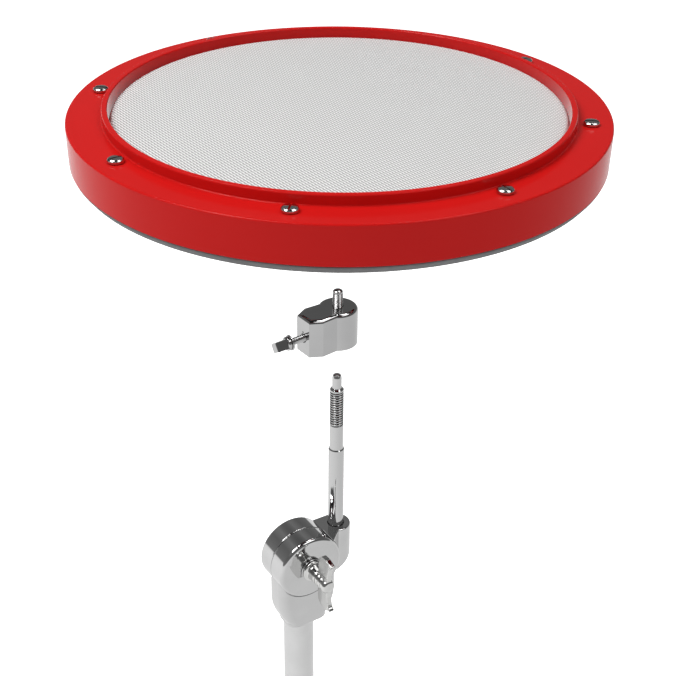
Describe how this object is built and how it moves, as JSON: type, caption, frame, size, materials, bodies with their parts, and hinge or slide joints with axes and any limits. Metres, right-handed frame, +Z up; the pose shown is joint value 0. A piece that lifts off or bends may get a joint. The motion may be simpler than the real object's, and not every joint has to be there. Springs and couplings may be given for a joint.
{
  "type": "practice pad",
  "caption": "Round tunable drum practice pad, its head in a screwed rim, laid out above the stud adapter and the rod, tilter and tube of its stand.",
  "frame": {"origin": "centre of the stand tube's open lower end, where the lower stand takes hold", "axes": "+Z up along the tube; the tilter's arm and the pad's axis lie towards +X and +Y of the tube, and the wing bolt faces -Y"},
  "size_m": [0.3, 0.3, 0.431],
  "materials": {
    "red_plastic": "gloss",
    "head_film": "satin",
    "foam": "matte",
    "tray_plastic": "satin",
    "base_rubber": "matte",
    "hoop_metal": "satin",
    "bush_brass": "satin",
    "chrome_plate": "polished",
    "zinc_steel": "satin",
    "fibre": "matte"
  },
  "bodies": {
    "stand_top": {"stand_tube": "chrome_plate", "tilter_base": "chrome_plate", "wing_washer": "chrome_plate", "friction_washer": "fibre"},
    "tilt_arm": {"tilter_arm": "chrome_plate", "stand_rod": "chrome_plate", "rod_set_screw": "zinc_steel", "hinge_nut": "zinc_steel"},
    "wing_bolt": {"wing_head": "chrome_plate", "wing_stud": "zinc_steel"},
    "adapter": {"adapter_block": "chrome_plate", "adapter_stud": "chrome_plate"},
    "key_washer": {"key_washer": "chrome_plate"},
    "key_bolt": {"key_bolt": "chrome_plate"},
    "pad": {"tension_rim": "red_plastic", "drumhead": "head_film", "flesh_hoop": "hoop_metal", "base_tray": "tray_plastic", "foam_core": "foam", "rubber_base": "base_rubber", "thread_bush": "bush_brass", "bush_screw_1": "zinc_steel", "bush_screw_2": "zinc_steel", "bush_screw_3": "zinc_steel", "screw_nut_1": "zinc_steel", "screw_nut_2": "zinc_steel", "screw_nut_3": "zinc_steel", "screw_nut_4": "zinc_steel", "screw_nut_5": "zinc_steel", "screw_nut_6": "zinc_steel", "screw_nut_7": "zinc_steel", "screw_nut_8": "zinc_steel"},
    "tension_screw_1": {"tension_screw_1": "chrome_plate"},
    "tension_screw_2": {"tension_screw_2": "chrome_plate"},
    "tension_screw_3": {"tension_screw_3": "chrome_plate"},
    "tension_screw_4": {"tension_screw_4": "chrome_plate"},
    "tension_screw_5": {"tension_screw_5": "chrome_plate"},
    "tension_screw_6": {"tension_screw_6": "chrome_plate"},
    "tension_screw_7": {"tension_screw_7": "chrome_plate"},
    "tension_screw_8": {"tension_screw_8": "chrome_plate"}
  },
  "joints": [
    {"name": "tilter_hinge", "type": "hinge", "parent": "stand_top", "child": "tilt_arm", "pos_m": [0, 0, 0.1204], "axis": [0.5358, -0.8443, 0], "range_deg": [0, 95]},
    {"name": "wing_bolt_turn", "type": "hinge", "parent": "stand_top", "child": "wing_bolt", "pos_m": [0, 0, 0.1204], "axis": [0.5358, -0.8443, 0], "continuous": true},
    {"name": "adapter_slide", "type": "slide", "parent": "tilt_arm", "child": "adapter", "axis": [0, 0, 1], "range_m": [-0.0443, 0]},
    {"name": "key_bolt_turn", "type": "hinge", "parent": "key_washer", "child": "key_bolt", "pos_m": [0.00013, -0.00282, 0.2858], "axis": [0.7986, 0.6018, 0], "range_deg": [0, 3870]},
    {"name": "key_bolt_travel", "type": "slide", "parent": "adapter", "child": "key_washer", "axis": [0.7986, 0.6018, 0], "range_m": [0, 0.0086]},
    {"name": "pad_slide", "type": "slide", "parent": "adapter", "child": "pad", "axis": [0, 0, 1], "range_m": [-0.1029, 0]},
    {"name": "tension_screw_1_turn", "type": "hinge", "parent": "pad", "child": "tension_screw_1", "pos_m": [0.16046, -0.00666, 0.425], "axis": [0, 0, 1], "continuous": true},
    {"name": "tension_screw_2_turn", "type": "hinge", "parent": "pad", "child": "tension_screw_2", "pos_m": [0.13639, 0.09595, 0.425], "axis": [0, 0, 1], "continuous": true},
    {"name": "tension_screw_3_turn", "type": "hinge", "parent": "pad", "child": "tension_screw_3", "pos_m": [0.04682, 0.15148, 0.425], "axis": [0, 0, 1], "continuous": true},
    {"name": "tension_screw_4_turn", "type": "hinge", "parent": "pad", "child": "tension_screw_4", "pos_m": [-0.05578, 0.12742, 0.425], "axis": [0, 0, 1], "continuous": true},
    {"name": "tension_screw_5_turn", "type": "hinge", "parent": "pad", "child": "tension_screw_5", "pos_m": [-0.11132, 0.03784, 0.425], "axis": [0, 0, 1], "continuous": true},
    {"name": "tension_screw_6_turn", "type": "hinge", "parent": "pad", "child": "tension_screw_6", "pos_m": [-0.08725, -0.06476, 0.425], "axis": [0, 0, 1], "continuous": true},
    {"name": "tension_screw_7_turn", "type": "hinge", "parent": "pad", "child": "tension_screw_7", "pos_m": [0.00232, -0.1203, 0.425], "axis": [0, 0, 1], "continuous": true},
    {"name": "tension_screw_8_turn", "type": "hinge", "parent": "pad", "child": "tension_screw_8", "pos_m": [0.10492, -0.09623, 0.425], "axis": [0, 0, 1], "continuous": true}
  ],
  "couplings": [
    {"joint": "key_bolt_turn", "follows": "key_bolt_travel", "rad_per_m": 7854}
  ]
}
